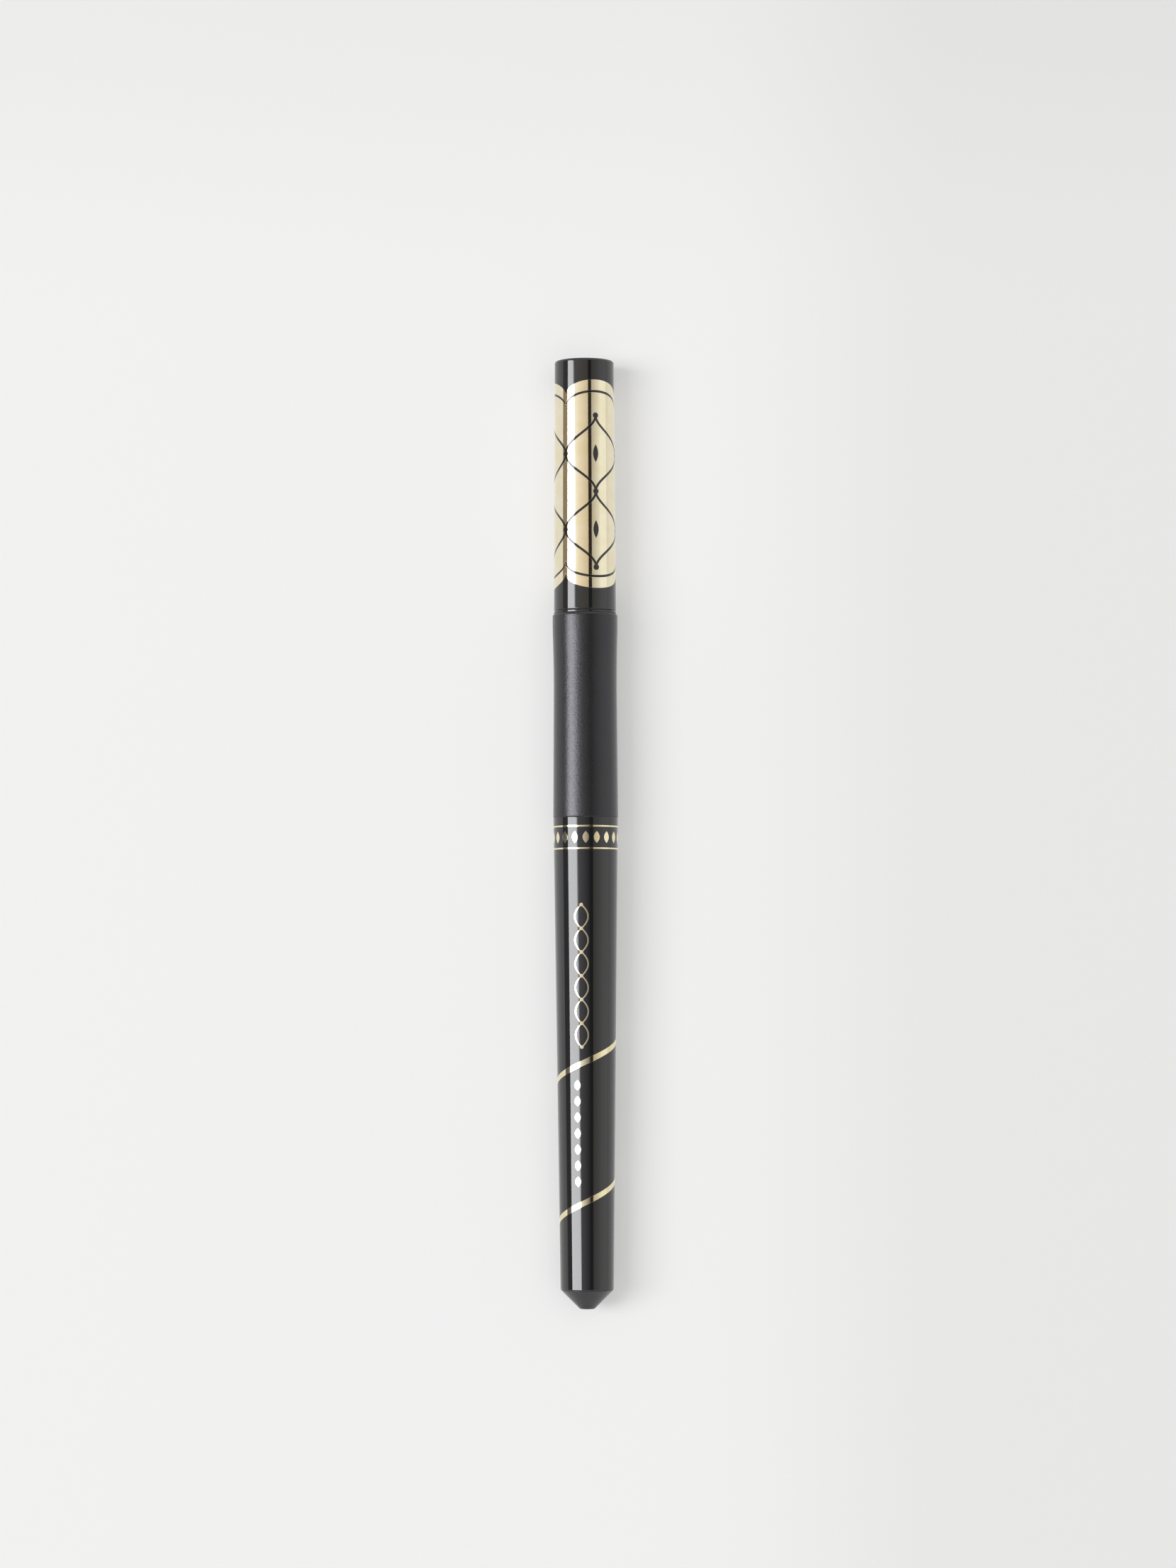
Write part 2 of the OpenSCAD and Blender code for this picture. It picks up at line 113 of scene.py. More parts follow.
def turned(name, corners, closed=True):
    # draws the half outline point by point and spins it round the pen's axis
    points = roundCorners(corners)
    if closed:
        points.append(points[0])
    startFresh()
    bpy.ops.mesh.primitive_plane_add(size=mm)
    piece = bpy.context.object
    piece.name = name
    bpy.ops.object.mode_set(mode="EDIT")
    bpy.ops.mesh.select_all(action="SELECT")
    bpy.ops.mesh.merge(type="CENTER")
    here = Vector((0, 0, 0))
    for index, point in enumerate(points):
        there = Vector((point.x * mm, tailEnd + point.y * mm, axisHeight))
        if index == 0:
            bpy.ops.transform.translate(value=there - here)
        else:
            bpy.ops.mesh.extrude_vertices_move(TRANSFORM_OT_translate={"value": there - here})
        here = there
    bpy.ops.mesh.select_all(action="SELECT")
    bpy.ops.mesh.spin(steps=turnSteps, angle=math.tau, center=(0, 0, axisHeight), axis=(0, 1, 0))
    bpy.ops.mesh.select_all(action="SELECT")
    bpy.ops.mesh.remove_doubles(threshold=mergeDistance)
    bpy.ops.mesh.normals_make_consistent(inside=False)
    bpy.ops.object.mode_set(mode="OBJECT")
    return piece


def bead(radius, start, length, height):
    # a straight raised bead or, with a negative height, a groove
    rise = abs(height)
    crest = radius + height
    end = start + length
    return [(radius, start), (crest, start + rise), (crest, end - rise), (radius, end)]


def shoulder(fromRadius, toRadius, start, length):
    # smooth blend between two radii
    corners = []
    for step in range(shoulderSteps + 1):
        share = step / shoulderSteps
        radius = toRadius + (fromRadius - toRadius) * (1 + math.cos(math.pi * share)) / 2
        corners.append((radius, start + length * share))
    return corners


def addBars(name, count, inner, outer, width, start, end):
    # bars that stand out from the axis, made once and copied round it
    startFresh()
    bpy.ops.mesh.primitive_cube_add(size=1)
    bar = bpy.context.object
    bar.name = name
    bar.scale = ((outer - inner) * mm, (end - start) * mm, width * mm)
    bar.location = ((inner + outer) / 2 * mm, tailEnd + (start + end) / 2 * mm, axisHeight)
    bpy.ops.object.transform_apply(location=True, rotation=True, scale=True)
    bpy.ops.object.mode_set(mode="EDIT")
    bpy.ops.mesh.select_all(action="SELECT")
    bpy.ops.mesh.spin(steps=count - 1, angle=math.tau * (count - 1) / count, center=(0, 0, axisHeight),
                      axis=(0, 1, 0), dupli=True)
    bpy.ops.mesh.select_all(action="SELECT")
    bpy.ops.mesh.normals_make_consistent(inside=False)
    bpy.ops.object.mode_set(mode="OBJECT")
    return bar


def combine(piece, tool, operation):
    # joins a shape to a piece or cuts it away
    startFresh()
    bpy.context.view_layer.objects.active = piece
    piece.select_set(True)
    bpy.ops.object.modifier_add(type="BOOLEAN")
    cut = piece.modifiers[-1]
    cut.operation = operation
    cut.object = tool
    bpy.ops.object.modifier_apply(modifier=cut.name)
    bpy.data.objects.remove(tool)
    bpy.ops.object.mode_set(mode="EDIT")
    bpy.ops.mesh.select_all(action="SELECT")
    bpy.ops.mesh.dissolve_degenerate(threshold=mergeDistance)  # faces without area, left by the cut
    bpy.ops.object.mode_set(mode="OBJECT")


def finishPiece(piece, material, body, slot, *nodes):
    startFresh()
    bpy.context.view_layer.objects.active = piece
    piece.select_set(True)
    bpy.ops.object.shade_smooth_by_angle(angle=math.radians(smoothAngle))
    piece.data.materials.append(material)
    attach(piece, body)
    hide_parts(*nodes)


# Materials

patchEdges = (0.3, 0.7)  # noise values between which a soft patch fades in


def newMaterial(name):
    material = bpy.data.materials.new(name)
    material.use_nodes = True
    tree = material.node_tree
    surface = tree.nodes["Principled BSDF"]
    return material, tree, surface


def maths(tree, operation, first, second=None, third=None):
    node = tree.nodes.new("ShaderNodeMath")
    node.operation = operation
    for index, value in enumerate((first, second, third)):
        if value is None:
            continue
        if isinstance(value, (int, float)):
            node.inputs[index].default_value = value
        else:
            tree.links.new(value, node.inputs[index])
    return node.outputs[0]


def objectPlace(tree):
    return tree.nodes.new("ShaderNodeTexCoord").outputs["Object"]


def separate(tree, place):
    node = tree.nodes.new("ShaderNodeSeparateXYZ")
    tree.links.new(place, node.inputs[0])
    return node.outputs["X"], node.outputs["Y"], node.outputs["Z"]


def hypotenuse(tree, first, second):
    squares = maths(tree, "MULTIPLY_ADD", first, first, maths(tree, "MULTIPLY", second, second))
    return maths(tree, "SQRT", squares)


def penCoordinates(tree, place):
    # distance from the tail and from the axis in millimetres, and turns round the axis
    across, along, up = separate(tree, place)
    side = maths(tree, "DIVIDE", across, mm)
    distance = maths(tree, "DIVIDE", maths(tree, "SUBTRACT", along, tailEnd), mm)
    height = maths(tree, "DIVIDE", maths(tree, "SUBTRACT", up, axisHeight), mm)
    turns = maths(tree, "DIVIDE", maths(tree, "ARCTAN2", side, height), math.tau)
    return distance, hypotenuse(tree, side, height), turns


def noise(tree, place, perMillimetre, detail=2.0, roughness=0.5):
    node = tree.nodes.new("ShaderNodeTexNoise")
    node.inputs["Scale"].default_value = perMillimetre / mm
    node.inputs["Detail"].default_value = detail
    node.inputs["Roughness"].default_value = roughness
    tree.links.new(place, node.inputs["Vector"])
    return node.outputs["Fac"]


def spread(tree, value, low, high, soft=True):
    # takes a value from 0 to 1 as it goes from low to high
    node = tree.nodes.new("ShaderNodeMapRange")
    if soft:
        node.interpolation_type = "SMOOTHSTEP"
    node.inputs["From Min"].default_value = low
    node.inputs["From Max"].default_value = high
    tree.links.new(value, node.inputs["Value"])
    return node.outputs["Result"]


def clouds(tree, place, perMillimetre, detail=3.0):
    # broad soft patches
    return spread(tree, noise(tree, place, perMillimetre, detail), *patchEdges)


def blendValue(tree, share, low, high):
    node = tree.nodes.new("ShaderNodeMapRange")
    node.inputs["To Min"].default_value = low
    node.inputs["To Max"].default_value = high
    tree.links.new(share, node.inputs["Value"])
    return node.outputs["Result"]


def blendColour(tree, share, low, high):
    node = tree.nodes.new("ShaderNodeMix")
    node.data_type = "RGBA"
    tree.links.new(share, node.inputs["Factor"])
    for socket, colour in (("A", low), ("B", high)):
        target = [s for s in node.inputs if s.name == socket and s.type == "RGBA"][0]
        if isinstance(colour, tuple):
            target.default_value = (*colour, 1)
        else:
            tree.links.new(colour, target)
    return [s for s in node.outputs if s.type == "RGBA"][0]


def paint(tree, surface, colour, roughness, constants=None):
    # what is the same all over goes on the shader's own sockets
    tree.links.new(colour, surface.inputs["Base Color"])
    tree.links.new(roughness, surface.inputs["Roughness"])
    for socket, value in (constants or {}).items():
        surface.inputs[socket].default_value = value


def bump(tree, surface, height, strength, depth):
    node = tree.nodes.new("ShaderNodeBump")
    node.inputs["Strength"].default_value = strength
    node.inputs["Distance"].default_value = depth * mm
    tree.links.new(height, node.inputs["Height"])
    tree.links.new(node.outputs["Normal"], surface.inputs["Normal"])


# Black gloss and gold foil

blackGloss = {
    "colour": (0.0055, 0.0055, 0.0062),
    "colourVaried": (0.00715, 0.00715, 0.00806),
    "roughness": (0.045, 0.075),
    "patchPerMillimetre": 0.6,
    "patchContrast": (0.35, 0.65),
    "grainPerMillimetre": 9,
    "grainHeight": 0.25,  # against the foil, which stands out by 1
    "bumpStrength": 0.12,
    "bumpDepth": 0.01,
    "constants": {"IOR": 1.56, "Sheen Weight": 0.15, "Sheen Roughness": 0.6},
}

foil = {
    "barrelGold": ((0.87, 0.785, 0.53), (0.84, 0.73, 0.45)),  # it wanders between these two
    "capGold": ((0.86, 0.79, 0.585), (0.83, 0.745, 0.52)),
    "roughness": (0.05, 0.09),
    "contrast": (0.3, 0.7),
    "edgeSoftness": 0.02,
}


def line(tree, offset, halfWidth):
    # a printed line where the offset is near zero
    edge = foil["edgeSoftness"]
    return spread(tree, maths(tree, "ABSOLUTE", offset), halfWidth + edge, halfWidth - edge)


def either(tree, *masks):
    result = masks[0]
    for mask in masks[1:]:
        result = maths(tree, "MAXIMUM", result, mask)
    return result


def within(tree, value, low, high):
    edge = foil["edgeSoftness"]
    above = spread(tree, value, low - edge, low + edge)
    below = spread(tree, value, high + edge, high - edge)
    return maths(tree, "MULTIPLY", above, below)


def leafEdge(tree, side, along, length, width):
    # how far outside the edge of a pointed leaf
    share = maths(tree, "DIVIDE", along, length / 2)
    bulge = maths(tree, "SUBTRACT", 1.0, maths(tree, "MULTIPLY", share, share))
    return maths(tree, "SUBTRACT", side, maths(tree, "MULTIPLY", bulge, width / 2))


def dot(tree, side, along, radius):
    edge = foil["edgeSoftness"]
    return spread(tree, hypotenuse(tree, side, along), radius + edge, radius - edge)


def filled(tree, outside):
    edge = foil["edgeSoftness"]
    return spread(tree, outside, edge, -edge)


def glossBlack(name, printFoil=None, goldTones=None, innerRadius=None):
    # moulded gloss black, with foil where printFoil says, on the outside only
    black = blackGloss
    material, tree, surface = newMaterial(name)
    place = objectPlace(tree)
    cloud = noise(tree, place, black["patchPerMillimetre"], detail=3)
    grain = noise(tree, place, black["grainPerMillimetre"], detail=1)
    roughness = blendValue(tree, spread(tree, cloud, *black["patchContrast"]), *black["roughness"])
    height = maths(tree, "MULTIPLY", grain, black["grainHeight"])
    if printFoil:
        distance, radius, turns = penCoordinates(tree, place)
        outside = maths(tree, "GREATER_THAN", radius, innerRadius)
        mask = maths(tree, "MULTIPLY", printFoil(tree, distance, turns), outside)
        gold = blendColour(tree, spread(tree, cloud, *foil["contrast"]), *goldTones)
        colour = blendColour(tree, mask, black["colour"], gold)
        goldRoughness = blendValue(tree, spread(tree, grain, *foil["contrast"]), *foil["roughness"])
        step = maths(tree, "SUBTRACT", goldRoughness, roughness)
        roughness = maths(tree, "MULTIPLY_ADD", step, mask, roughness)
        height = maths(tree, "ADD", height, mask)
        tree.links.new(mask, surface.inputs["Metallic"])
    else:
        colour = blendColour(tree, cloud, black["colour"], black["colourVaried"])
    paint(tree, surface, colour, roughness, black["constants"])
    bump(tree, surface, height, black["bumpStrength"], black["bumpDepth"])
    return material


# Tail cone

tailCone = {
    "endRadius": 1.05,
    "endRounding": 0.3,
    "radius": 3.845,
    "edgeRounding": 0.06,
    "plugRadius": 2.845,
    "plugWall": 0.75,
    "chamfer": 0.15,
    "snapStart": 4.2,
    "snapLength": 0.8,
    "snapHeight": 0.3,
    "ribs": 6,
    "ribRadius": 3.025,
    "ribWidth": 0.5,
    "ribClear": 0.2,
    "colour": (0.006, 0.006, 0.0064),
    "colourWorn": (0.01, 0.01, 0.0104),
    "patchPerMillimetre": 0.8,
    "roughness": (0.34, 0.46),
    "grainPerMillimetre": 7,
    "bumpStrength": 0.15,
    "bumpDepth": 0.02,
    "constants": {"Sheen Weight": 0.34, "Sheen Roughness": 0.4},
}


def satinBlack():
    finish = tailCone
    material, tree, surface = newMaterial("satinBlack")
    place = objectPlace(tree)
    cloud = clouds(tree, place, finish["patchPerMillimetre"])
    grain = noise(tree, place, finish["grainPerMillimetre"])
    colour = blendColour(tree, cloud, finish["colour"], finish["colourWorn"])
    paint(tree, surface, colour, blendValue(tree, grain, *finish["roughness"]), finish["constants"])
    bump(tree, surface, grain, finish["bumpStrength"], finish["bumpDepth"])
    return material


def makeTailCone():
    size = tailCone
    plug = size["plugRadius"]
    plugEnd = station("tail_plug", 1)
    bore = plug - size["plugWall"]
    boreFloor = barrelStart + size["plugWall"]
    corners = [(0, 0), (size["endRadius"], 0, size["endRounding"]),
               (size["radius"], barrelStart, size["edgeRounding"]), (plug, barrelStart)]
    corners += bead(plug, size["snapStart"], size["snapLength"], size["snapHeight"])
    corners += [(plug, plugEnd - size["chamfer"]), (plug - size["chamfer"], plugEnd), (bore, plugEnd),
                (bore, boreFloor), (0, boreFloor)]
    piece = turned("tailCone", corners, closed=False)
    ribs = addBars("ribs", size["ribs"], bore + size["plugWall"] / 2, size["ribRadius"], size["ribWidth"],
                   size["snapStart"] + size["snapLength"] / 2, plugEnd - size["ribClear"])
    combine(piece, ribs, "UNION")
    finishPiece(piece, satinBlack(), "pen", "satin_black", "tail_plug")
    print("tail cone made")


makeTailCone()


# Barrel

barrelShape = {
    "tailRadius": 3.845,
    "seamRadius": 4.685,
    "edgeRounding": 0.12,
    "coreRadius": 3.91,
    "beads": 3,
    "beadLength": 1.2,
    "beadHeight": 0.12,
    "keys": 4,
    "keyHeight": 0.3,
    "keyWidth": 1.2,
    "keyLength": 5,
    "boreRadius": 3.045,
    "seatRadius": 3.395,
    "chamfer": 0.15,
    "grooveLength": 0.8,
    "grooveDepth": 0.12,
    "rearGroove": 4.2,
    "frontGroove": 95.6,
    "foilClear": 0.5,  # the foil stays this far outside the bore
}

windingLine = {
    "width": 0.76,
    "climb": 12.25,  # for one turn
    "middle": 35.55,  # where the upper one crosses the top of the pen
    "spacing": 20.05,
    "taperStart": 0.34,  # in turns from the top
    "end": 46.0,
}

seamBand = {
    "start": 66.1,
    "end": 69.3,
    "ringWidth": 0.22,
    "leaves": 18,
    "leafLength": 1.7,
    "leafWidth": 0.9,
}

leafStrand = {
    "turn": -0.024,  # to the left of the top line, in turns
    "radius": 4.4,
    "start": 37.6,
    "leaves": 6,
    "pitch": 3.4,
    "leafWidth": 1.9,
    "stroke": 0.21,
    "dotRadius": 0.25,
}

smallStrand = {
    "turn": -0.05,
    "radius": 4.1,
    "start": 17.2,
    "leaves": 7,
    "pitch": 2.3,
    "leafLength": 1.45,
    "leafWidth": 0.9,
}


def windingMask(tree, distance, turns):
    # two lines, each once round the barrel, that taper off behind
    winding = windingLine
    half = winding["spacing"] / 2
    centre = maths(tree, "MULTIPLY_ADD", turns, winding["climb"], winding["middle"])
    offset = maths(tree, "WRAP", maths(tree, "SUBTRACT", distance, centre), half, -half)
    steep = math.hypot(1, winding["climb"] / (math.tau * barrelShape["tailRadius"]))
    offset = maths(tree, "DIVIDE", maths(tree, "ABSOLUTE", offset), steep)
    taper = spread(tree, maths(tree, "ABSOLUTE", turns), 0.5, winding["taperStart"], soft=False)
    gap = maths(tree, "SUBTRACT", offset, maths(tree, "MULTIPLY", taper, winding["width"] / 2))
    return maths(tree, "MULTIPLY", filled(tree, gap), maths(tree, "LESS_THAN", distance, winding["end"]))


def bandMask(tree, distance, turns):
    # two fine rings with a row of small leaves between them
    band = seamBand
    middle = (band["start"] + band["end"]) / 2
    half = (band["end"] - band["start"]) / 2
    offset = maths(tree, "ABSOLUTE", maths(tree, "SUBTRACT", distance, middle))
    ring = line(tree, maths(tree, "SUBTRACT", offset, half), band["ringWidth"] / 2)
    pitch = math.tau * barrelShape["seamRadius"] / band["leaves"]
    across = maths(tree, "PINGPONG", maths(tree, "MULTIPLY", turns, band["leaves"] * pitch), pitch / 2)
    leaves = filled(tree, leafEdge(tree, across, offset, band["leafLength"], band["leafWidth"]))
    return either(tree, ring, leaves)


def strandPlace(tree, distance, turns, strand):
    # distance to the strand's middle line, and to the middle of the nearest leaf
    offset = maths(tree, "SUBTRACT", turns, strand["turn"])
    side = maths(tree, "ABSOLUTE", maths(tree, "MULTIPLY", offset, math.tau * strand["radius"]))
    half = strand["pitch"] / 2
    fold = maths(tree, "PINGPONG", maths(tree, "SUBTRACT", distance, strand["start"] + half), half)
    return side, fold


def leafStrandMask(tree, distance, turns):
    # outlined leaves tip to tip, with a dot on each tip
    strand = leafStrand
    side, fold = strandPlace(tree, distance, turns, strand)
    end = strand["start"] + strand["pitch"] * strand["leaves"]
    outline = leafEdge(tree, side, fold, strand["pitch"], strand["leafWidth"])
    leaves = line(tree, outline, strand["stroke"] / 2)
    leaves = maths(tree, "MULTIPLY", leaves, within(tree, distance, strand["start"], end))
    dots = dot(tree, side, maths(tree, "SUBTRACT", strand["pitch"] / 2, fold), strand["dotRadius"])
    low = strand["start"] - 2 * strand["dotRadius"]
    dots = maths(tree, "MULTIPLY", dots, within(tree, distance, low, end + 2 * strand["dotRadius"]))
    return either(tree, leaves, dots)


def smallStrandMask(tree, distance, turns):
    # small solid leaves
    strand = smallStrand
    side, fold = strandPlace(tree, distance, turns, strand)
    leaves = filled(tree, leafEdge(tree, side, fold, strand["leafLength"], strand["leafWidth"]))
    end = strand["start"] + strand["pitch"] * strand["leaves"]
    return maths(tree, "MULTIPLY", leaves, within(tree, distance, strand["start"], end))


def barrelFoil(tree, distance, turns):
    return either(tree, windingMask(tree, distance, turns), bandMask(tree, distance, turns),
                  leafStrandMask(tree, distance, turns), smallStrandMask(tree, distance, turns))


def coreBeads(radius, height, trim=0.0):
    # the beads or grooves that lock the sleeve on the core
    size = barrelShape
    first = seam + size["keyLength"]
    length = size["beadLength"] - 2 * trim
    corners = []
    for index in range(size["beads"]):
        middle = first + (gripFront - first) * (index + 1) / (size["beads"] + 1)
        corners += bead(radius, middle - length / 2, length, height)
    return corners


def makeBarrel():
    size = barrelShape
    core = size["coreRadius"]
    seat = size["seatRadius"]
    bore = size["boreRadius"]
    groove = (size["grooveLength"], size["grooveDepth"])
    boreStep = station("seal_ring", 0)
    corners = [(size["tailRadius"], barrelStart, size["edgeRounding"]),
               (size["seamRadius"], seam, size["edgeRounding"]), (core, seam)]
    corners += coreBeads(core, -size["beadHeight"])
    corners += [(core, gripFront), (seat + size["chamfer"], gripFront),
                (seat, gripFront - size["chamfer"])]
    corners += reversed(bead(seat, size["frontGroove"], *groove))
    corners += [(seat, boreStep), (bore, boreStep)]
    corners += reversed(bead(bore, size["rearGroove"], *groove))
    corners += [(bore, barrelStart)]
    piece = turned("barrelTube", corners)
    keys = addBars("keys", size["keys"], core - size["beadHeight"], core + size["keyHeight"],
                   size["keyWidth"], seam, seam + size["keyLength"])
    combine(piece, keys, "UNION")
    gloss = glossBlack("barrelGloss", barrelFoil, foil["barrelGold"], bore + size["foilClear"])
    finishPiece(piece, gloss, "pen", "gloss_black", "barrel")
    print("barrel made")


makeBarrel()


# Grip

gripShape = {
    "frontRadius": 4.705,
    "waistRadius": 4.56,
    "waistFromFront": 10.9,
    "bandLength": 2.4,
    "flareSteps": 14,
    "frontRounding": 0.4,
    "seamRounding": 0.06,
    "fit": 0.02,
    "colour": (0.0025, 0.0025, 0.0029),
    "colourRubbed": (0.0045, 0.0045, 0.0049),
    "patchPerMillimetre": 0.35,
    "roughness": (0.27, 0.34),
    "grainPerMillimetre": 3.2,
    "grainContrast": (0.25, 0.75),
    "poresPerMillimetre": 8,
    "poreHeight": 0.25,  # against the grain
    "bumpStrength": 0.5,
    "bumpDepth": 0.045,
    "constants": {
        "IOR": 1.52,
        "Specular Tint": (0.93, 0.93, 1.0, 1.0),
        "Sheen Weight": 0.12,
        "Sheen Roughness": 0.6,
    },
}


def softTouch():
    finish = gripShape
    material, tree, surface = newMaterial("softTouch")
    place = objectPlace(tree)
    cloud = clouds(tree, place, finish["patchPerMillimetre"], detail=4)
    grain = noise(tree, place, finish["grainPerMillimetre"], detail=3, roughness=0.6)
    pores = noise(tree, place, finish["poresPerMillimetre"], detail=1)
    colour = blendColour(tree, cloud, finish["colour"], finish["colourRubbed"])
    roughness = blendValue(tree, spread(tree, grain, *finish["grainContrast"]), *finish["roughness"])
    paint(tree, surface, colour, roughness, finish["constants"])
    height = maths(tree, "ADD", grain, maths(tree, "MULTIPLY", pores, finish["poreHeight"]))
    bump(tree, surface, height, finish["bumpStrength"], finish["bumpDepth"])
    return material


def makeGrip():
    size = gripShape
    core = barrelShape
    fit = size["fit"]
    bore = core["coreRadius"] + fit
    waist = gripFront - size["waistFromFront"]
    bandStart = gripFront - size["bandLength"]
    corners = [(core["seamRadius"], seam, size["seamRounding"]), (size["waistRadius"], waist)]
    for step in range(1, size["flareSteps"] + 1):
        share = step / size["flareSteps"]
        radius = size["waistRadius"] + (size["frontRadius"] - size["waistRadius"]) * share ** 2
        corners.append((radius, waist + (bandStart - waist) * share))
    corners += [(size["frontRadius"], gripFront, size["frontRounding"]), (bore, gripFront)]
    corners += reversed(coreBeads(bore, -core["beadHeight"], fit))
    corners += [(bore, seam)]
    piece = turned("gripSleeve", corners)
    slots = addBars("slots", core["keys"], core["coreRadius"] - core["beadHeight"],
                    bore + core["keyHeight"], core["keyWidth"] + 2 * fit, seam - overrun,
                    seam + core["keyLength"] + fit)
    combine(piece, slots, "DIFFERENCE")
    finishPiece(piece, softTouch(), "pen", "soft_black", "grip_sleeve")
    print("grip made")


makeGrip()


# Nose

noseShape = {
    "spigotRadius": 3.375,
    "spigotBore": 2.625,
    "chamfer": 0.15,
    "snapStart": 95.62,
    "snapLength": 0.76,
    "snapHeight": 0.12,
    "collarRadius": 4.515,
    "collarWidth": 0.3,
    "collarRounding": 0.05,
    "neckRadius": 3.515,
    "ringStart": 2.2,
    "ringLength": 0.9,
    "ringHeight": 0.17,
    "shoulderLength": 6.5,
    "landRadius": 2.0,
    "landLength": 3.5,
    "noseLength": 5.5,
    "tipRadius": 1.3,
    "tipRounding": 0.15,
    "nibBore": 0.82,
    "hollowRadius": 1.1,
    "funnelLength": 0.6,
    "flutes": 4,
    "fluteStart": 0.2,  # radius at which the cutting bars start, inside the bore
    "fluteWidth": 0.35,
    "fluteDepth": 0.2,
}


def makeNose():
    size = noseShape
    spigot = size["spigotRadius"]
    spigotBore = size["spigotBore"]
    collar = size["collarRadius"]
    neck = size["neckRadius"]
    nibBore = size["nibBore"]
    collarFront = gripFront + size["collarWidth"]
    landEnd = noseFront - size["noseLength"]
    neckEnd = landEnd - size["landLength"] - size["shoulderLength"]
    hollow = nibRear - size["funnelLength"]
    hollowLength = hollow - size["funnelLength"] - neckEnd
    corners = [(spigot - size["chamfer"], spigotStart), (spigot, spigotStart + size["chamfer"])]
    corners += bead(spigot, size["snapStart"], size["snapLength"], size["snapHeight"])
    corners += [(spigot, gripFront), (collar, gripFront, size["collarRounding"]),
                (collar, collarFront, size["collarRounding"]), (neck, collarFront)]
    corners += bead(neck, collarFront + size["ringStart"], size["ringLength"], size["ringHeight"])
    corners += shoulder(neck, size["landRadius"], neckEnd, size["shoulderLength"])
    corners += [(size["landRadius"], landEnd), (size["tipRadius"], noseFront, size["tipRounding"]),
                (nibBore, noseFront), (nibBore, nibRear), (size["hollowRadius"], hollow)]
    corners += reversed(shoulder(spigotBore, size["hollowRadius"], neckEnd, hollowLength))
    corners += [(spigotBore, spigotStart)]
    piece = turned("noseSection", corners)
    flutes = addBars("flutes", size["flutes"], size["fluteStart"], nibBore + size["fluteDepth"],
                     size["fluteWidth"], hollow, noseFront + overrun)
    combine(piece, flutes, "DIFFERENCE")
    finishPiece(piece, glossBlack("noseGloss"), "pen", "neck_black", "front_section")
    print("nose made")


makeNose()


# Nib

nibShape = {
    "radius": 0.8,
    "pointRadius": 0.2,
    "fullness": 1.4,
    "taperSteps": 20,
    "pointSteps": 8,
    "socketRadius": 0.62,
    "socketDepth": 1.2,
    "colour": (0.007, 0.007, 0.008),
    "fibreColour": (0.03, 0.03, 0.034),
    "roughness": (0.5, 0.75),
}

felt = {
    "fibresPerMillimetre": 9,
    "squeeze": 0.12,  # along the pen, which draws the fibres out
    "contrast": (0.35, 0.65),
    "bumpStrength": 0.6,
    "bumpDepth": 0.03,
    "constants": {"Sheen Weight": 0.15},
}


def bondedFelt(name, colour, fibreColour, roughness):
    # long fibres along the pen, pressed together
    material, tree, surface = newMaterial(name)
    mapping = tree.nodes.new("ShaderNodeMapping")
    mapping.inputs["Scale"].default_value = (1, felt["squeeze"], 1)
    tree.links.new(objectPlace(tree), mapping.inputs["Vector"])
    place = mapping.outputs["Vector"]
    fibres = noise(tree, place, felt["fibresPerMillimetre"], detail=4, roughness=0.65)
    strands = spread(tree, fibres, *felt["contrast"])
    paint(tree, surface, blendColour(tree, strands, colour, fibreColour),
          blendValue(tree, strands, *roughness), felt["constants"])
    bump(tree, surface, fibres, felt["bumpStrength"], felt["bumpDepth"])
    return material


def makeNib():
    size = nibShape
    full = size["radius"]
    tip = size["pointRadius"]
    pointStart = nibFront - tip
    corners = [(0, nibRear + size["socketDepth"]), (size["socketRadius"], nibRear), (full, nibRear)]
    for step in range(size["taperSteps"]):
        share = step / size["taperSteps"]
        radius = tip + (full - tip) * (1 - share ** size["fullness"])
        corners.append((radius, noseFront + (pointStart - noseFront) * share))
    for step in range(size["pointSteps"]):
        turn = math.pi / 2 * step / size["pointSteps"]
        corners.append((tip * math.cos(turn), pointStart + tip * math.sin(turn)))
    corners.append((0, nibFront))
    piece = turned("feltNib", corners, closed=False)
    inked = bondedFelt("inkedFelt", size["colour"], size["fibreColour"], size["roughness"])
    finishPiece(piece, inked, "pen", "black_felt", "nib")
    print("nib made")


makeNib()


# Cap

capShape = {
    "mouthRadius": 4.515,
    "lipRounding": 0.12,
    "endRadius": 4.3,
    "endRounding": 0.38,
    "boreRadius": 3.715,
    "mouthChamfer": 0.15,
    "grooveStart": 1.85,
    "grooveLength": 1.4,
    "grooveDepth": 0.12,
    "linerBore": 3.265,
    "linerLead": 0.6,
    "ribs": 6,
    "ribHeight": 0.15,
    "ribWidth": 0.5,
    "foilClear": 0.3,  # the foil stays this far outside the bore
}

lattice = {
    "columns": 3,
    "turn": 0.06,  # of the first column's middle, in turns
    "radius": 4.4,
    "low": 106.6,
    "pitch": 11.0,
    "rows": 2,
    "lineWidth": 0.35,
    "knotRadius": 0.42,
    "knotRoom": 1,  # past the ends of the ovals
    "leafLength": 2.6,
    "leafWidth": 0.8,
    "borderLow": 103.6,
    "borderHigh": 131.6,
    "borderDepth": 2.2,
    "borderGap": 1.7,
}


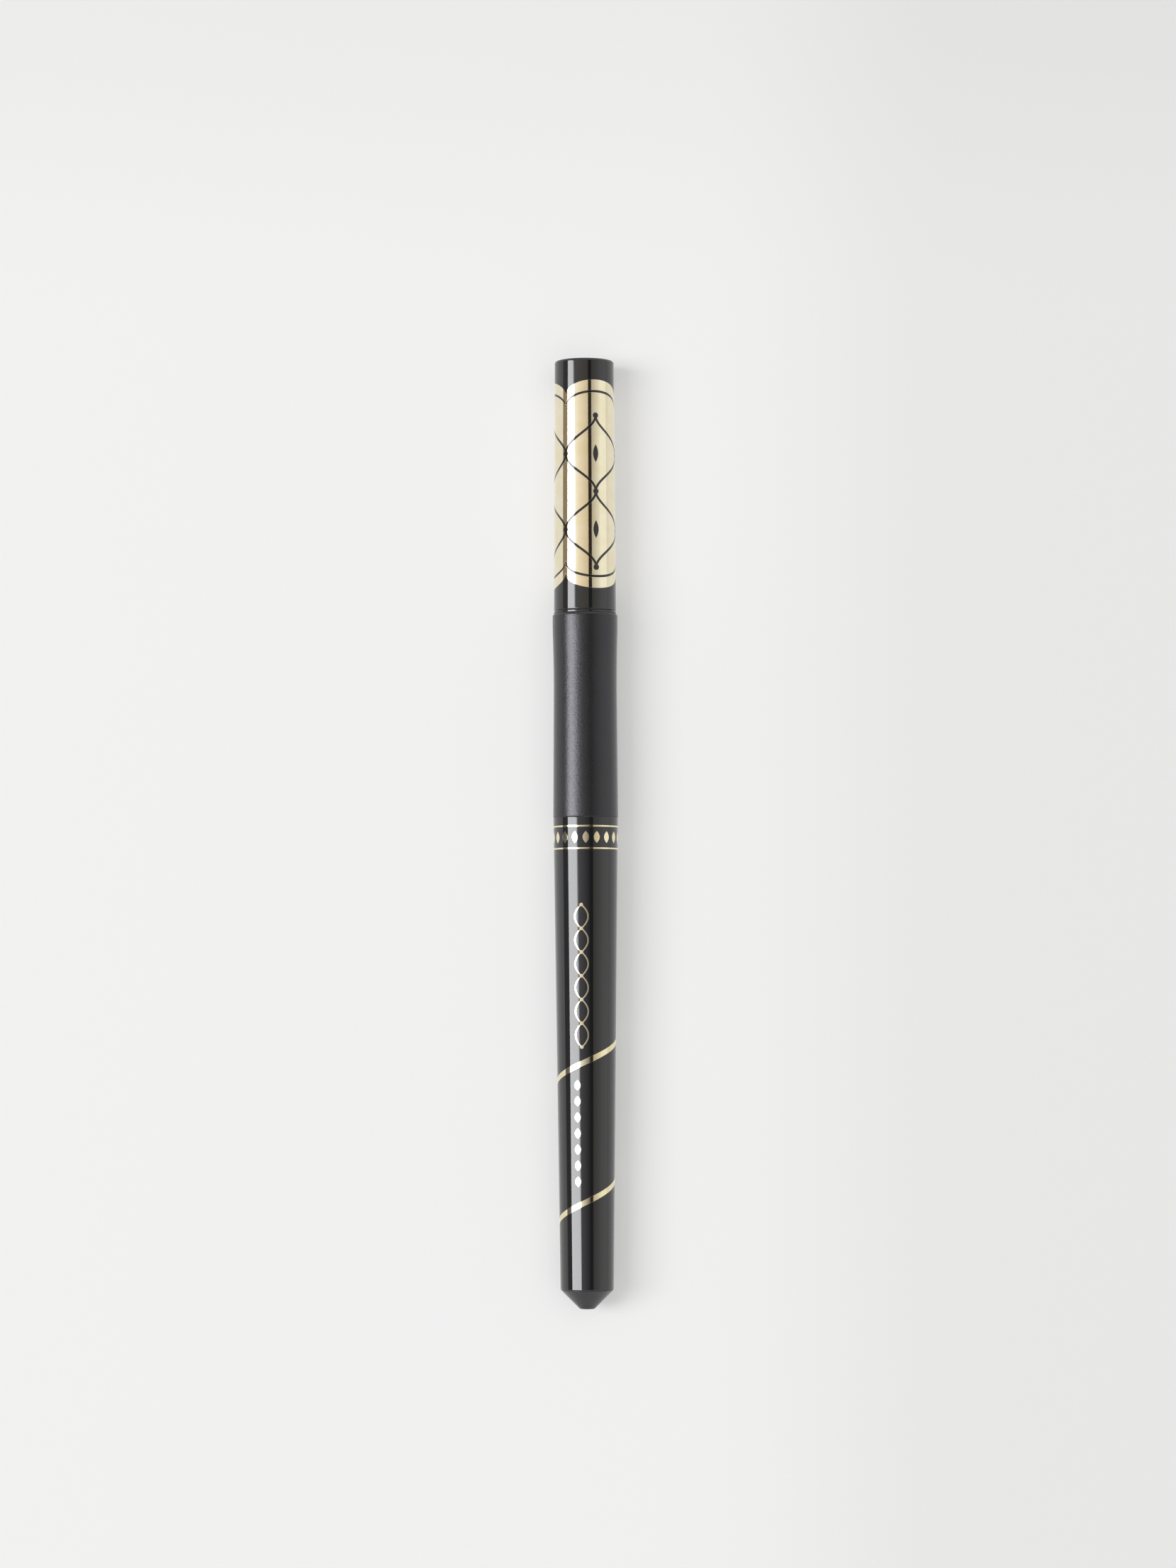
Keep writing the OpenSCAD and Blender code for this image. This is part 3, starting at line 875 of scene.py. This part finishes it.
def latticeFoil(tree, distance, turns):
    # gold with fine black lines in pointed ovals, between scalloped borders
    grid = lattice
    cell = math.tau * grid["radius"] / (2 * grid["columns"])
    high = grid["low"] + grid["rows"] * grid["pitch"]
    columns = maths(tree, "MULTIPLY", maths(tree, "SUBTRACT", turns, grid["turn"]), 2 * grid["columns"])
    side = maths(tree, "PINGPONG", columns, 1.0)
    row = maths(tree, "DIVIDE", maths(tree, "SUBTRACT", distance, grid["low"]), grid["pitch"])
    angle = maths(tree, "MULTIPLY", row, math.tau)
    curve = maths(tree, "MULTIPLY_ADD", maths(tree, "COSINE", angle), -0.5, 0.5)
    slope = maths(tree, "MULTIPLY", maths(tree, "SINE", angle), cell * math.pi / grid["pitch"])
    steep = maths(tree, "SQRT", maths(tree, "MULTIPLY_ADD", slope, slope, 1.0))
    offset = maths(tree, "MULTIPLY", maths(tree, "SUBTRACT", side, curve), cell)
    ovals = line(tree, maths(tree, "DIVIDE", offset, steep), grid["lineWidth"] / 2)
    fromMiddle = maths(tree, "MULTIPLY", side, cell)
    fromEdge = maths(tree, "SUBTRACT", cell, fromMiddle)
    fromRow = maths(tree, "MULTIPLY", maths(tree, "PINGPONG", row, 0.5), grid["pitch"])
    fromHalfRow = maths(tree, "SUBTRACT", grid["pitch"] / 2, fromRow)
    leaves = filled(tree, leafEdge(tree, fromMiddle, fromHalfRow, grid["leafLength"], grid["leafWidth"]))
    inside = within(tree, distance, grid["low"], high)
    inside = maths(tree, "MULTIPLY", either(tree, ovals, leaves), inside)
    knots = either(tree, dot(tree, fromMiddle, fromRow, grid["knotRadius"]),
                   dot(tree, fromEdge, fromHalfRow, grid["knotRadius"]))
    room = within(tree, distance, grid["low"] - grid["knotRoom"], high + grid["knotRoom"])
    knots = maths(tree, "MULTIPLY", knots, room)
    arch = maths(tree, "SQRT", maths(tree, "SUBTRACT", 1.0, maths(tree, "MULTIPLY", side, side)))
    arch = maths(tree, "MULTIPLY", arch, grid["borderDepth"])
    foot = grid["borderLow"] + grid["borderDepth"]
    top = maths(tree, "SUBTRACT", maths(tree, "ADD", arch, grid["borderHigh"]), distance)
    bottom = maths(tree, "SUBTRACT", maths(tree, "ADD", arch, distance), foot)
    border = maths(tree, "MINIMUM", top, bottom)
    inner = line(tree, maths(tree, "SUBTRACT", border, grid["borderGap"]), grid["lineWidth"] / 2)
    black = either(tree, inside, knots, inner)
    return maths(tree, "SUBTRACT", 1.0, either(tree, filled(tree, border), black))


def makeCap():
    size = capShape
    bore = size["boreRadius"]
    linerBore = size["linerBore"]
    ribHeight = size["ribHeight"]
    landStart = noseFront - noseShape["noseLength"] - noseShape["landLength"]
    ledge = landStart - size["linerLead"]
    grooveStart = capMouth + size["grooveStart"]
    corners = [(bore + size["mouthChamfer"], capMouth),
               (size["mouthRadius"], capMouth, size["lipRounding"]),
               (size["endRadius"], capEnd, size["endRounding"]), (0, capEnd), (0, capFloor),
               (linerBore, capFloor), (linerBore, ledge), (bore, ledge - (bore - linerBore))]
    corners += reversed(bead(bore, grooveStart, size["grooveLength"], size["grooveDepth"]))
    corners += [(bore, capMouth + size["mouthChamfer"])]
    piece = turned("capShell", corners)
    ribs = addBars("capRibs", size["ribs"], linerBore - ribHeight, linerBore + ribHeight, size["ribWidth"],
                   ledge + ribHeight, capFloor + ribHeight)
    combine(piece, ribs, "UNION")
    gloss = glossBlack("capGloss", latticeFoil, foil["capGold"], bore + size["foilClear"])
    finishPiece(piece, gloss, "cap", "cap_black", "cap_shell")
    print("cap made")


makeCap()


# Inner cap

linerShape = {
    "radius": 3.095,
    "wall": 0.7,
    "sealRadius": 2.03,
    "chamfer": 0.15,
    "colour": (0.78, 0.78, 0.75),
    "colourInked": (0.7, 0.7, 0.69),
    "roughness": (0.35, 0.5),
}

moulding = {
    "patchPerMillimetre": 0.5,
    "grainPerMillimetre": 8,
    "bumpStrength": 0.15,
    "bumpDepth": 0.02,
}


def paleMoulding(name, colour, otherColour, roughness):
    # plain moulded plastic or rubber with faint clouds and a fine grain
    material, tree, surface = newMaterial(name)
    place = objectPlace(tree)
    cloud = clouds(tree, place, moulding["patchPerMillimetre"])
    grain = noise(tree, place, moulding["grainPerMillimetre"])
    paint(tree, surface, blendColour(tree, cloud, colour, otherColour),
          blendValue(tree, grain, *roughness))
    bump(tree, surface, grain, moulding["bumpStrength"], moulding["bumpDepth"])
    return material


def makeInnerCap():
    size = linerShape
    radius = size["radius"]
    seal = size["sealRadius"]
    wall = size["wall"]
    chamfer = size["chamfer"]
    chamber = radius - wall
    landEnd = noseFront - noseShape["noseLength"]
    corners = [(seal + chamfer, linerMouth), (radius - chamfer, linerMouth),
               (radius, linerMouth + chamfer), (radius, capFloor - chamfer), (radius - chamfer, capFloor),
               (0, capFloor), (0, capFloor - wall), (chamber, capFloor - wall), (chamber, landEnd + wall),
               (seal, landEnd), (seal, linerMouth + chamfer)]
    piece = turned("innerCap", corners)
    plastic = paleMoulding("linerPlastic", size["colour"], size["colourInked"], size["roughness"])
    finishPiece(piece, plastic, "cap", "liner_plastic", "inner_cap")
    print("inner cap made")


makeInnerCap()


# Inside of the pen

insideFinishes = {
    "collector": ("naturalPlastic", (0.74, 0.72, 0.66), (0.68, 0.66, 0.6), (0.35, 0.5)),
    "seal_ring": ("ringRubber", (0.3, 0.055, 0.04), (0.24, 0.045, 0.035), (0.55, 0.7)),
    "tank_plug": ("stopperRubber", (0.56, 0.53, 0.46), (0.5, 0.47, 0.41), (0.45, 0.6)),
}

feedFinish = ("feedFibre", (0.66, 0.63, 0.54), (0.8, 0.77, 0.68), (0.6, 0.8))

tankFinish = {
    "colours": ((0.8, 0.83, 0.85), (0.74, 0.78, 0.8)),
    "patchPerMillimetre": 0.3,
    "roughness": (0.18, 0.3),
    "grainPerMillimetre": 6,
    "constants": {"Transmission Weight": 0.6, "IOR": 1.49},
}

ballFinish = {
    "colours": ((0.58, 0.58, 0.6), (0.5, 0.5, 0.52)),
    "roughness": (0.12, 0.25),
    "wearPerMillimetre": 3,
    "wearContrast": (0.35, 0.65),
    "constants": {"Metallic": 1.0},
}


def dress(node, material):
    # gives a node that keeps its own shape a finish
    slots = frame["nodes"][node].data.materials
    slots.clear()
    slots.append(material)


def tankPlastic():
    finish = tankFinish
    material, tree, surface = newMaterial("tankPlastic")
    place = objectPlace(tree)
    colour = blendColour(tree, clouds(tree, place, finish["patchPerMillimetre"]), *finish["colours"])
    roughness = blendValue(tree, noise(tree, place, finish["grainPerMillimetre"]), *finish["roughness"])
    paint(tree, surface, colour, roughness, finish["constants"])
    return material


def ballSteel():
    finish = ballFinish
    material, tree, surface = newMaterial("ballSteel")
    wear = noise(tree, objectPlace(tree), finish["wearPerMillimetre"], detail=4)
    wear = spread(tree, wear, *finish["wearContrast"])
    paint(tree, surface, blendColour(tree, wear, *finish["colours"]),
          blendValue(tree, wear, *finish["roughness"]), finish["constants"])
    return material


for node, finish in insideFinishes.items():
    dress(node, paleMoulding(*finish))
dress("relay_core", bondedFelt(*feedFinish))
dress("ink_tank", tankPlastic())
dress("mixing_ball", ballSteel())
print("inner nodes finished")


# Floor, lamps and camera

studio = {
    "floorSize": 24.0,
    "paintedShadeTones": (0.89, 0.825),  # painted shade: the floor is painted lighter left of the pen and darker right of it
    "floorFade": (0.015, 0.055),  # between these places, in metres
    "farPaintedShade": 0.95,  # painted shade: the floor past the cap is painted darker, against 1 beside the pen
    "farFade": (0.075, 0.13),
    "floorRoughness": 0.9,
    "floorShine": 0.1,
    "floorGlow": 0.4,  # how far the floor's shadows are lightened
    "mirroredGlow": 0.85,  # the same, in reflections
    "edgeFade": (0.5, 2.5),  # over this distance the floor turns into the backdrop
    "backdropTone": 0.87,
    "reflectedTone": 1.0,
    "fillTone": 0.22,
    "lampReach": 3.0,  # of the lamps from the pen, in metres
    "cardReach": 2.6,
    "cardWidth": 2.6,  # along the pen
    "cardFade": (0.07, 0.26),  # between what the barrel and what the cap reflects
}

lamps = {
    "key": {
        "lean": -37,  # of all lamps and cards: from straight up, to the right, in degrees
        "span": 34,  # as seen from the pen, in degrees
        "width": 1.0,
        "radiance": 9.9,
        "colour": (0.99, 0.99, 1.0),
        "along": 0.05,
    },
    "overhead": {
        "lean": 8,
        "span": 60,
        "width": 3.6,
        "radiance": 0.94,
        "colour": (1.0, 0.995, 0.95),
    },
}

cards = {
    "overheadCard": {
        "lean": -6.9,
        "span": 41.2,
        "strength": 1.02,
        "barrelTones": ((1.02, 1.0, 1.06), (0.14, 0.135, 0.14)),  # at its left and right edge
        "capTones": ((1.0, 0.93, 0.86), (0.68, 0.59, 0.48)),
    },
    "slotCard": {
        "lean": 20.2,
        "span": 12.8,
        "strength": 1.0,
        "barrelTones": ((0.022, 0.015, 0.01), (0.022, 0.015, 0.01)),
    },
    "sideCard": {
        "lean": 43.6,
        "span": 34,
        "strength": 1.0,
        "barrelTones": ((0.5, 0.48, 0.44), (0.95, 0.93, 0.91)),
    },
    "lowCard": {
        "lean": -79,
        "span": 27,
        "strength": 0.8,
        "barrelTones": ((0.1, 0.095, 0.11), (0.2, 0.19, 0.21)),
        "capTones": ((0.3, 0.26, 0.25), (0.38, 0.29, 0.2)),
    },
}

softbox = {
    "lean": -46.5,
    "reach": 2.5,
    "size": (3.2, 1.5),
    "along": 0.05,
    "leftEdge": -1.04,
    "leftSoftness": 0.12,
    "rightEdge": 0.7,
    "rightSoftness": 0.2,
    "slant": 1.15,  # its right edge runs inwards towards the cap
    "colour": (0.98, 0.985, 1.0),
    "strength": 10.6,
}


def lightPaths(tree):
    # camera rays, and rays that a reflection or a clear piece sends on
    path = tree.nodes.new("ShaderNodeLightPath")
    passed = maths(tree, "MAXIMUM", path.outputs["Is Glossy Ray"], path.outputs["Is Transmission Ray"])
    return path.outputs["Is Camera Ray"], passed


def mixShaders(tree, share, first, second):
    mix = tree.nodes.new("ShaderNodeMixShader")
    tree.links.new(share, mix.inputs["Fac"])
    tree.links.new(first.outputs[0], mix.inputs[1])
    tree.links.new(second.outputs[0], mix.inputs[2])
    tree.links.new(mix.outputs[0], tree.nodes["Material Output"].inputs["Surface"])


def addFloor():
    startFresh()
    bpy.ops.mesh.primitive_plane_add(size=studio["floorSize"])
    floor = bpy.context.object
    floor.name = "floor"
    material, tree, surface = newMaterial("paleFloor")
    across, along = separate(tree, objectPlace(tree))[:2]
    # painted shade: the floor's colour darkens to the right of the pen and past the cap
    shadedTone = blendValue(tree, spread(tree, across, *studio["floorFade"]), *studio["paintedShadeTones"])
    farShade = blendValue(tree, spread(tree, along, *studio["farFade"]), 1.0, studio["farPaintedShade"])
    away = spread(tree, hypotenuse(tree, across, along), *studio["edgeFade"])
    backdrop = (studio["backdropTone"],) * 3
    shadedTone = blendColour(tree, away, maths(tree, "MULTIPLY", shadedTone, farShade), backdrop)
    tree.links.new(shadedTone, surface.inputs["Base Color"])
    surface.inputs["Roughness"].default_value = studio["floorRoughness"]
    surface.inputs["Specular IOR Level"].default_value = studio["floorShine"]
    glow = tree.nodes.new("ShaderNodeEmission")
    tree.links.new(shadedTone, glow.inputs["Color"])
    camera, passed = lightPaths(tree)
    camera = maths(tree, "MULTIPLY", camera, maths(tree, "MAXIMUM", away, studio["floorGlow"]))
    passed = maths(tree, "MULTIPLY", passed, maths(tree, "MAXIMUM", away, studio["mirroredGlow"]))
    mixShaders(tree, maths(tree, "MAXIMUM", camera, passed), surface, glow)
    floor.data.materials.append(material)


def placeAround(thing, lean, reach, along=0.0):
    # puts a lamp or card over the pen and turns it towards it
    turn = math.radians(lean)
    thing.location = (math.sin(turn) * reach, along, math.cos(turn) * reach + axisHeight)
    thing.rotation_euler = (0, turn, 0)


def spanSize(span, reach):
    # size in metres of what fills this angle at this distance
    return 2 * reach * math.tan(math.radians(span) / 2)


def addLamp(name, lean, span, width, radiance, colour, along=0.0):
    # reflections show the cards instead
    startFresh()
    bpy.ops.object.light_add(type="AREA")
    lamp = bpy.context.object
    lamp.name = name
    lamp.data.shape = "RECTANGLE"
    lamp.data.size = spanSize(span, studio["lampReach"])
    lamp.data.size_y = width
    lamp.data.energy = radiance * math.pi * lamp.data.size * lamp.data.size_y
    lamp.data.color = colour
    lamp.visible_glossy = False
    placeAround(lamp, lean, studio["lampReach"], along)


def cardPlane(name, lean, reach, size, along=0.0):
    # a glowing card that only shows in reflections
    startFresh()
    bpy.ops.mesh.primitive_plane_add(size=1)
    card = bpy.context.object
    card.name = name
    card.scale = (*size, 1)
    bpy.ops.object.transform_apply(location=False, rotation=False, scale=True)
    placeAround(card, lean, reach, along)
    material = bpy.data.materials.new(name)
    material.use_nodes = True
    tree = material.node_tree
    tree.nodes.remove(tree.nodes["Principled BSDF"])
    card.data.materials.append(material)
    card.visible_camera = False
    card.visible_diffuse = False
    card.visible_shadow = False
    return tree, tree.nodes.new("ShaderNodeEmission")


def addCard(name, lean, span, strength, barrelTones, capTones=None):
    # shaded from its left edge to its right one, and along the pen
    size = spanSize(span, studio["cardReach"])
    tree, glow = cardPlane(name, lean, studio["cardReach"], (size, studio["cardWidth"]))
    across, along = separate(tree, objectPlace(tree))[:2]
    share = spread(tree, across, -size / 2, size / 2, soft=False)
    colour = blendColour(tree, share, *barrelTones)
    if capTones:
        fade = spread(tree, along, *studio["cardFade"])
        colour = blendColour(tree, fade, colour, blendColour(tree, share, *capTones))
    tree.links.new(colour, glow.inputs["Color"])
    glow.inputs["Strength"].default_value = strength
    tree.links.new(glow.outputs[0], tree.nodes["Material Output"].inputs["Surface"])


def addSoftbox():
    # soft at both edges, and left out of the light that pieces throw on the floor
    box = softbox
    tree, glow = cardPlane("softboxFront", box["lean"], box["reach"], box["size"], box["along"])
    across, along = separate(tree, objectPlace(tree))[:2]
    edge, soft = box["leftEdge"], box["leftSoftness"]
    left = spread(tree, across, edge - soft, edge + soft)
    edge, soft = box["rightEdge"], box["rightSoftness"]
    right = maths(tree, "MULTIPLY_ADD", maths(tree, "ADD", along, box["along"]), box["slant"], across)
    right = spread(tree, right, edge + soft, edge - soft)
    glow.inputs["Color"].default_value = (*box["colour"], 1)
    glow.inputs["Strength"].default_value = box["strength"]
    bounces = tree.nodes.new("ShaderNodeLightPath").outputs["Diffuse Depth"]
    direct = maths(tree, "LESS_THAN", bounces, 1.0)
    share = maths(tree, "MULTIPLY", maths(tree, "MULTIPLY", left, right), direct)
    clear = tree.nodes.new("ShaderNodeBsdfTransparent")
    mixShaders(tree, share, clear, glow)


def addWorld():
    world = bpy.data.worlds.new("studio")
    bpy.context.scene.world = world
    world.use_nodes = True
    tree = world.node_tree
    camera, passed = lightPaths(tree)
    colour = blendColour(tree, passed, (studio["fillTone"],) * 3, (studio["reflectedTone"],) * 3)
    colour = blendColour(tree, camera, colour, (studio["backdropTone"],) * 3)
    tree.links.new(colour, tree.nodes["Background"].inputs["Color"])


photo = {
    "width": 1659,
    "height": 2212,
    "penMiddle": (826.1, 1174.6),  # pixel of the middle of the pen
    "scale": 9.755,  # pixels to a millimetre, at the pen's axis
}

cameraPlace = {
    "height": 630.0,  # over the pen's axis, in millimetres
    "fromMiddle": -25.4,  # along the pen, towards the tail
    "roll": -0.19,
}


def addCamera():
    aimSide = (photo["width"] / 2 - photo["penMiddle"][0]) / photo["scale"]
    aimAlong = (photo["penMiddle"][1] - photo["height"] / 2) / photo["scale"]
    aim = Vector((aimSide, aimAlong, axisHeight / mm)) * mm
    spot = Vector((aimSide, cameraPlace["fromMiddle"], axisHeight / mm + cameraPlace["height"])) * mm
    startFresh()
    bpy.ops.object.camera_add(location=spot)
    camera = bpy.context.object
    camera.rotation_euler = (aim - spot).to_track_quat("-Z", "Y").to_euler()
    camera.rotation_euler.rotate_axis("Z", math.radians(cameraPlace["roll"]))
    sensor = camera.data.sensor_width
    camera.data.lens = photo["scale"] * (aim - spot).length / mm * sensor / photo["height"]
    bpy.context.scene.camera = camera


addFloor()
addWorld()
for name, lamp in lamps.items():
    addLamp(name, **lamp)
addSoftbox()
for name, card in cards.items():
    addCard(name, **card)
addCamera()
bpy.context.scene.view_settings.view_transform = "Standard"
print("stage, lamps and camera set")
